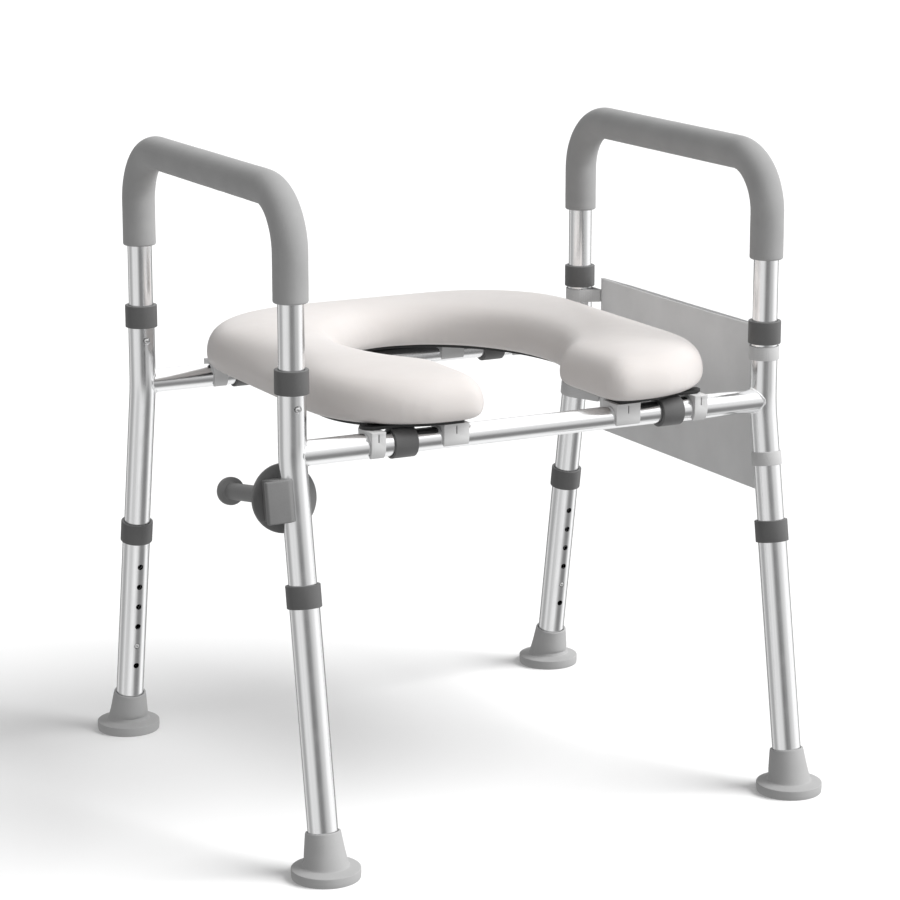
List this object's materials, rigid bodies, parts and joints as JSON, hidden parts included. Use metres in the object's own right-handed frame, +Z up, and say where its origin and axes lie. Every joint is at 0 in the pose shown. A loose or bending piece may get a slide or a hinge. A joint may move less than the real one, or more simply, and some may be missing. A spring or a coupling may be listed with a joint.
{
  "type": "raised toilet seat",
  "caption": "Free-standing raised toilet seat: padded open-front seat on a telescopic aluminium frame with foam-gripped handles, height-adjustable legs, paper holder and magazine bag.",
  "frame": {"origin": "on the floor, midway between the four feet", "axes": "+Z up; +Y from the seat's open front towards the back; +X towards the side that carries the magazine bag"},
  "size_m": [0.647, 0.6128, 0.711],
  "materials": {
    "tube": "bright anodised, drawn along the tube",
    "collar": "dark grey moulded plastic",
    "foam": "closed-cell foam, fine matte skin",
    "foot": "matte moulded rubber",
    "button": "satin",
    "clip": "light grey moulded plastic",
    "cushion": "soft moulded skin, satin",
    "board": "black moulded plastic",
    "holder": "grey moulded plastic",
    "bag": "plain woven cloth",
    "strap": "flat webbing"
  },
  "bodies": {
    "crossbars": {"front_crossbar_tube": "tube", "rear_crossbar_tube": "tube"},
    "seat": {"seat_cushion": "cushion", "seat_base_board": "board", "left_front_wide_clip": "clip", "left_front_narrow_clip": "clip", "right_front_wide_clip": "clip", "right_front_narrow_clip": "clip", "left_rear_wide_clip": "clip", "left_rear_narrow_clip": "clip", "right_rear_wide_clip": "clip", "right_rear_narrow_clip": "clip"},
    "left_side": {"left_front_upright": "tube", "left_front_upper_collar": "collar", "left_front_crossbar_collar": "collar", "left_rear_upright": "tube", "left_rear_upper_collar": "collar", "left_rear_crossbar_collar": "collar", "paper_holder_clamp": "holder"},
    "left_handle": {"left_handle_tube": "tube", "left_foam_grip": "foam"},
    "left_front_leg": {"left_front_leg_extension": "tube", "left_front_leg_collar": "collar", "left_front_rubber_foot": "foot"},
    "left_front_leg_button": {"left_front_leg_button": "button"},
    "left_front_handle_button": {"left_front_handle_button": "button"},
    "left_front_crossbar_button": {"left_front_crossbar_button": "button"},
    "left_rear_leg": {"left_rear_leg_extension": "tube", "left_rear_leg_collar": "collar", "left_rear_rubber_foot": "foot"},
    "left_rear_leg_button": {"left_rear_leg_button": "button"},
    "left_rear_handle_button": {"left_rear_handle_button": "button"},
    "left_rear_crossbar_button": {"left_rear_crossbar_button": "button"},
    "right_side": {"right_front_upright": "tube", "right_front_upper_collar": "collar", "right_front_crossbar_collar": "collar", "right_rear_upright": "tube", "right_rear_upper_collar": "collar", "right_rear_crossbar_collar": "collar", "magazine_bag": "bag", "front_upper_bag_strap": "strap", "rear_upper_bag_strap": "strap", "front_lower_bag_strap": "strap", "rear_lower_bag_strap": "strap"},
    "right_handle": {"right_handle_tube": "tube", "right_foam_grip": "foam"},
    "right_front_leg": {"right_front_leg_extension": "tube", "right_front_leg_collar": "collar", "right_front_rubber_foot": "foot"},
    "right_front_leg_button": {"right_front_leg_button": "button"},
    "right_front_handle_button": {"right_front_handle_button": "button"},
    "right_front_crossbar_button": {"right_front_crossbar_button": "button"},
    "right_rear_leg": {"right_rear_leg_extension": "tube", "right_rear_leg_collar": "collar", "right_rear_rubber_foot": "foot"},
    "right_rear_leg_button": {"right_rear_leg_button": "button"},
    "right_rear_handle_button": {"right_rear_handle_button": "button"},
    "right_rear_crossbar_button": {"right_rear_crossbar_button": "button"},
    "paper_spindle": {"paper_holder_spindle": "holder"}
  },
  "joints": [
    {"name": "seat_lift_off", "type": "slide", "parent": "crossbars", "child": "seat", "axis": [0, 0, 1], "range_m": [0, 0.15]},
    {"name": "left_width_slide", "type": "slide", "parent": "crossbars", "child": "left_side", "axis": [-1, 0, 0], "range_m": [-0.025, 0.01]},
    {"name": "left_handle_lift_off", "type": "slide", "parent": "left_side", "child": "left_handle", "axis": [0, 0, 1], "range_m": [0, 0.42]},
    {"name": "left_front_leg_height", "type": "slide", "parent": "left_side", "child": "left_front_leg", "axis": [0, -0.165, -0.9863], "range_m": [0, 0.1]},
    {"name": "left_front_leg_button_press", "type": "slide", "parent": "left_side", "child": "left_front_leg_button", "axis": [0, -0.9863, 0.165], "range_m": [0, 0.003], "stiffness_N_per_m": 600},
    {"name": "left_front_handle_button_press", "type": "slide", "parent": "left_handle", "child": "left_front_handle_button", "axis": [0, 1, 0], "range_m": [0, 0.004], "stiffness_N_per_m": 600},
    {"name": "left_front_crossbar_button_press", "type": "slide", "parent": "crossbars", "child": "left_front_crossbar_button", "axis": [0, 0, 1], "range_m": [0, 0.003], "stiffness_N_per_m": 600},
    {"name": "left_rear_leg_height", "type": "slide", "parent": "left_side", "child": "left_rear_leg", "axis": [0, 0.165, -0.9863], "range_m": [0, 0.1]},
    {"name": "left_rear_leg_button_press", "type": "slide", "parent": "left_side", "child": "left_rear_leg_button", "axis": [0, 0.9863, 0.165], "range_m": [0, 0.003], "stiffness_N_per_m": 600},
    {"name": "left_rear_handle_button_press", "type": "slide", "parent": "left_handle", "child": "left_rear_handle_button", "axis": [0, 1, 0], "range_m": [0, 0.004], "stiffness_N_per_m": 600},
    {"name": "left_rear_crossbar_button_press", "type": "slide", "parent": "crossbars", "child": "left_rear_crossbar_button", "axis": [0, 0, 1], "range_m": [0, 0.003], "stiffness_N_per_m": 600},
    {"name": "right_width_slide", "type": "slide", "parent": "crossbars", "child": "right_side", "axis": [1, 0, 0], "range_m": [-0.025, 0.01]},
    {"name": "right_handle_lift_off", "type": "slide", "parent": "right_side", "child": "right_handle", "axis": [0, 0, 1], "range_m": [0, 0.42]},
    {"name": "right_front_leg_height", "type": "slide", "parent": "right_side", "child": "right_front_leg", "axis": [0, -0.165, -0.9863], "range_m": [0, 0.1]},
    {"name": "right_front_leg_button_press", "type": "slide", "parent": "right_side", "child": "right_front_leg_button", "axis": [0, -0.9863, 0.165], "range_m": [0, 0.003], "stiffness_N_per_m": 600},
    {"name": "right_front_handle_button_press", "type": "slide", "parent": "right_handle", "child": "right_front_handle_button", "axis": [0, -1, 0], "range_m": [0, 0.004], "stiffness_N_per_m": 600},
    {"name": "right_front_crossbar_button_press", "type": "slide", "parent": "crossbars", "child": "right_front_crossbar_button", "axis": [0, 0, 1], "range_m": [0, 0.003], "stiffness_N_per_m": 600},
    {"name": "right_rear_leg_height", "type": "slide", "parent": "right_side", "child": "right_rear_leg", "axis": [0, 0.165, -0.9863], "range_m": [0, 0.1]},
    {"name": "right_rear_leg_button_press", "type": "slide", "parent": "right_side", "child": "right_rear_leg_button", "axis": [0, 0.9863, 0.165], "range_m": [0, 0.003], "stiffness_N_per_m": 600},
    {"name": "right_rear_handle_button_press", "type": "slide", "parent": "right_handle", "child": "right_rear_handle_button", "axis": [0, -1, 0], "range_m": [0, 0.004], "stiffness_N_per_m": 600},
    {"name": "right_rear_crossbar_button_press", "type": "slide", "parent": "crossbars", "child": "right_rear_crossbar_button", "axis": [0, 0, 1], "range_m": [0, 0.003], "stiffness_N_per_m": 600},
    {"name": "paper_spindle_spin", "type": "hinge", "parent": "left_side", "child": "paper_spindle", "pos_m": [-0.2855, -0.18261, 0.37944], "axis": [0, 0.9863, -0.165], "continuous": true}
  ]
}
